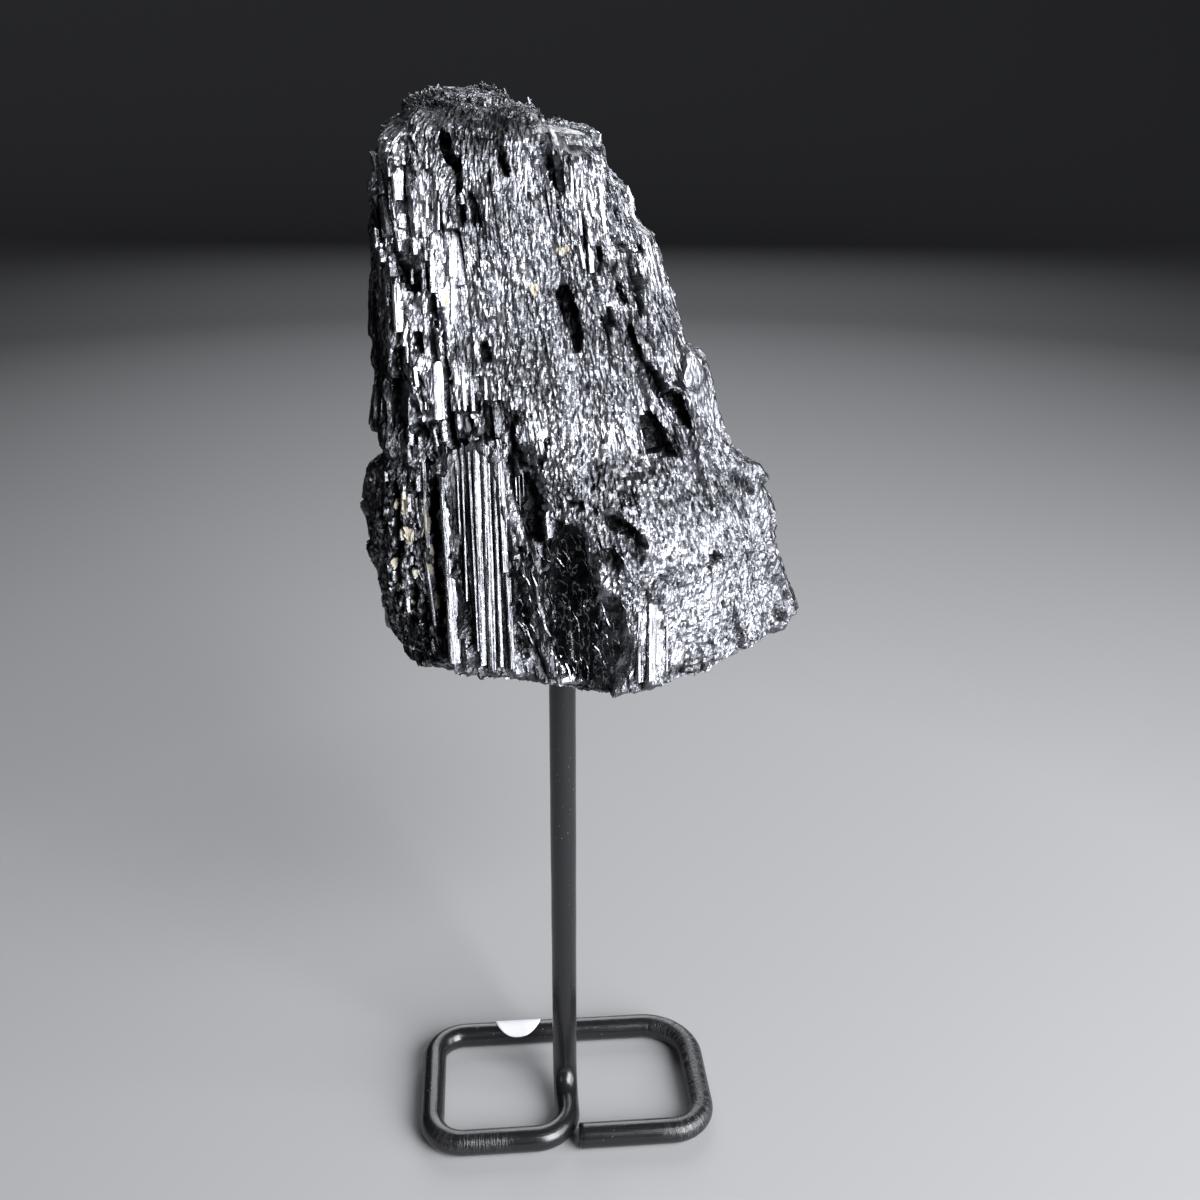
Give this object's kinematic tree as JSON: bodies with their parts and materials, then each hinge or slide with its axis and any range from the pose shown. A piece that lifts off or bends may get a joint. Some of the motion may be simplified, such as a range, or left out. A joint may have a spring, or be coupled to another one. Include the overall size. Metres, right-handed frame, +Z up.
{
  "type": "rough black tourmaline specimen on a bent rod stand",
  "caption": "Rough mass of fanned, ridged black tourmaline crystals, drilled underneath and held up on the post of a flat looped rod stand.",
  "frame": {"origin": "middle of the bottom of the whole object's box, on the surface it stands on", "axes": "+Z up, along the stand's post; +X to the right as the stone's showing face is looked at; -Y towards the viewer"},
  "size_m": [0.0936, 0.0526, 0.2407],
  "materials": {
    "tourmaline": "natural broken black crystal, glossy facets and fine striations, small tan mineral specks",
    "stand": "semi-gloss black coating on a bent steel rod, scuffed bare in places",
    "paper_dot": "matt white paper, blank"
  },
  "bodies": {
    "root": {"tourmaline": "tourmaline", "stand": "stand", "paper_dot": "paper_dot"}
  },
  "joints": []
}
